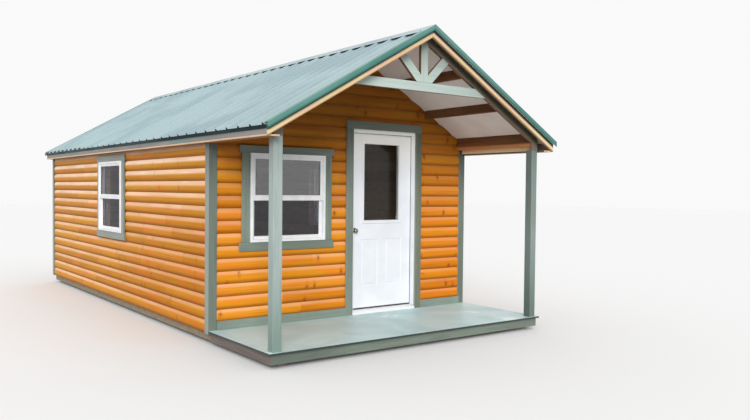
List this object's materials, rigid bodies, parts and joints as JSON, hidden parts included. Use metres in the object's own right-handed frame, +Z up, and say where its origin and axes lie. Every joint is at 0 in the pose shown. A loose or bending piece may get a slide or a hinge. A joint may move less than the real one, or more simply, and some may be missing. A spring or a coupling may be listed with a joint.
{
  "type": "hunting cabin",
  "caption": "Log-sided cabin with a covered porch, gable roof of ribbed metal, sage trim, a half-light door that opens and windows on three sides.",
  "frame": {"origin": "on the ground under the ridge, halfway between the two ends of the roof", "axes": "+Y runs from the porch to the back wall, +X to the right seen from the porch, +Z up"},
  "size_m": [3.654, 7.533, 3.1706],
  "materials": {
    "log_siding": "semi-gloss honey stain",
    "sage_paint": "satin paint",
    "deck_paint": "satin paint",
    "framing_lumber": "bare",
    "floor_board": "bare",
    "sheathing_board": "bare",
    "brown_stain": "stain",
    "cream_paint": "bare",
    "roof_metal": "satin enamel",
    "rake_metal": "satin enamel",
    "white_vinyl": "satin",
    "window_pane": "clear",
    "door_paint": "satin enamel",
    "threshold_metal": "mill",
    "brass": "polished",
    "hinge_steel": "satin"
  },
  "bodies": {
    "cabin": {"back_siding": "log_siding", "back_wall": "framing_lumber", "corner_boards": "sage_paint", "door_frame": "door_paint", "door_stops": "door_paint", "door_threshold": "threshold_metal", "door_trim": "sage_paint", "eave_fascia": "sage_paint", "eave_soffits": "framing_lumber", "floor_deck": "floor_board", "floor_frame": "framing_lumber", "front_siding": "log_siding", "front_skirt": "sage_paint", "front_truss": "sage_paint", "front_wall_gable": "framing_lumber", "front_wall_left": "framing_lumber", "front_wall_right": "framing_lumber", "front_window": "white_vinyl", "front_window_trim": "sage_paint", "jamb_hinges": "hinge_steel", "left_siding": "log_siding", "left_wall": "framing_lumber", "left_window": "white_vinyl", "left_window_trim": "sage_paint", "metal_roof": "roof_metal", "porch_beams": "brown_stain", "porch_floor": "deck_paint", "porch_posts": "sage_paint", "porch_purlins": "brown_stain", "porch_rim": "sage_paint", "rake_boards": "cream_paint", "rake_trim": "rake_metal", "ridge_cap": "roof_metal", "right_siding": "log_siding", "right_wall": "framing_lumber", "right_window": "white_vinyl", "right_window_trim": "sage_paint", "roof_sheathing": "sheathing_board", "skids": "framing_lumber", "window_glass": "window_pane"},
    "door": {"door_leaf": "door_paint", "door_lite_frame": "door_paint", "door_glass": "window_pane", "door_knob": "brass", "door_hinges": "hinge_steel"}
  },
  "joints": [
    {"name": "door_hinge", "type": "hinge", "parent": "cabin", "child": "door", "pos_m": [0.9195, -2.2765, 1.209], "axis": [0, 0, -1], "range_deg": [0, 110]}
  ]
}
